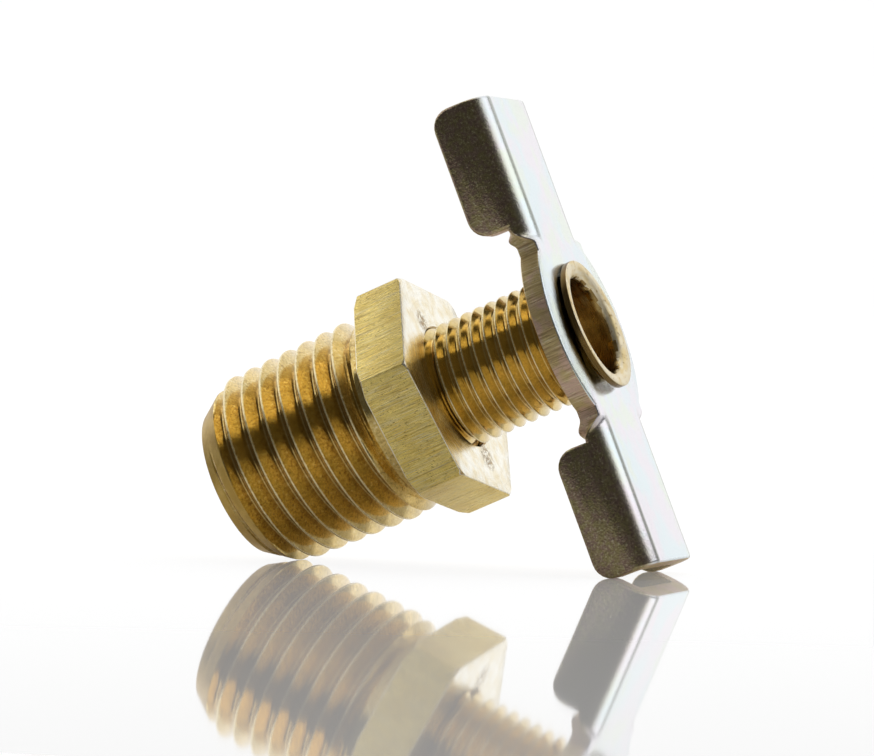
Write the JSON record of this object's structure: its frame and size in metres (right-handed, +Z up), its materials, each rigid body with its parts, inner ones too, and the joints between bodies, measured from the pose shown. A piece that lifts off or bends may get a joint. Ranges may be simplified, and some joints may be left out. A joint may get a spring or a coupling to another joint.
{
  "type": "drain cock",
  "caption": "Small brass drain cock with a taper pipe thread, a hex collar and a hollow screw stem turned by a folded sheet-metal T handle.",
  "frame": {"origin": "on the floor, under the middle of the bounding box of the part as it lies at rest", "axes": "+Z up, +X along the floor from the pipe thread to the handle, +Y along the floor away from the side that the picture shows"},
  "size_m": [0.0331, 0.0162, 0.031],
  "materials": {
    "body_brass": "machined, slightly tarnished in the thread grooves",
    "stem_brass": "machined, with a pale rolled end",
    "handle_zinc": "sheet steel with a faintly coloured zinc finish"
  },
  "bodies": {
    "valve_body": {"valve_body": "body_brass"},
    "stem": {"stem": "stem_brass"},
    "handle": {"handle": "handle_zinc"}
  },
  "joints": [
    {"name": "stem_travel", "type": "slide", "parent": "valve_body", "child": "stem", "axis": [0.9103, 0, 0.4139], "range_m": [-0.00522, 0]},
    {"name": "handle_turn", "type": "hinge", "parent": "stem", "child": "handle", "pos_m": [0.01009, 0, 0.01612], "axis": [0.9103, 0, 0.4139], "range_deg": [0, 2070]}
  ],
  "couplings": [
    {"joint": "stem_travel", "follows": "handle_turn", "m_per_rad": -0.00014435}
  ]
}
